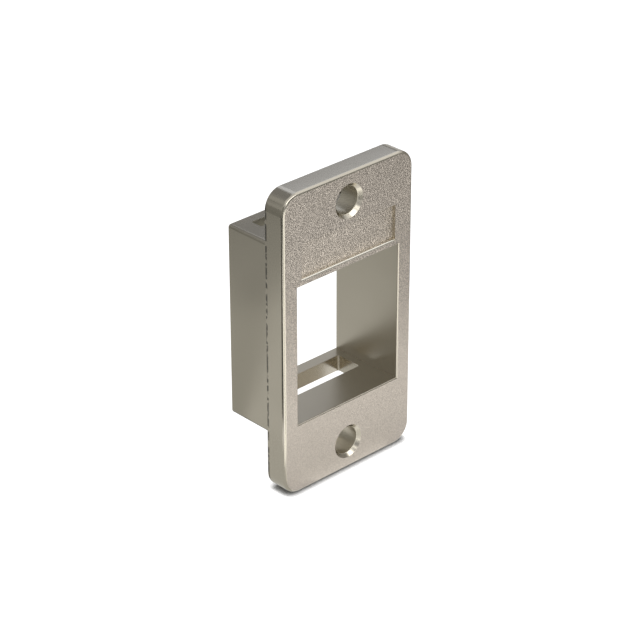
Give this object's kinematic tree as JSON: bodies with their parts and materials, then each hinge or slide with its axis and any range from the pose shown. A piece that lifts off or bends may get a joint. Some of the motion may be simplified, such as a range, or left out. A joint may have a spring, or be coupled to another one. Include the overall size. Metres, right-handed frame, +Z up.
{
  "type": "keystone holder",
  "caption": "Die-cast panel holder for a keystone jack: a screw-on plate with a rectangular opening, a short slotted sleeve behind it and a recessed label field.",
  "frame": {"origin": "midway between the two screw holes, on the rear face of the plate, which seats on the panel", "axes": "+X to the right seen from the front, +Y back through the panel along the sleeve, +Z up along the line of the screw holes"},
  "size_m": [0.019, 0.0096, 0.0358],
  "materials": {
    "nickel_plated_zinc": "satin nickel plate on die-cast zinc, finely grained on the front face"
  },
  "bodies": {
    "root": {"holder_casting": "nickel_plated_zinc"}
  },
  "joints": []
}
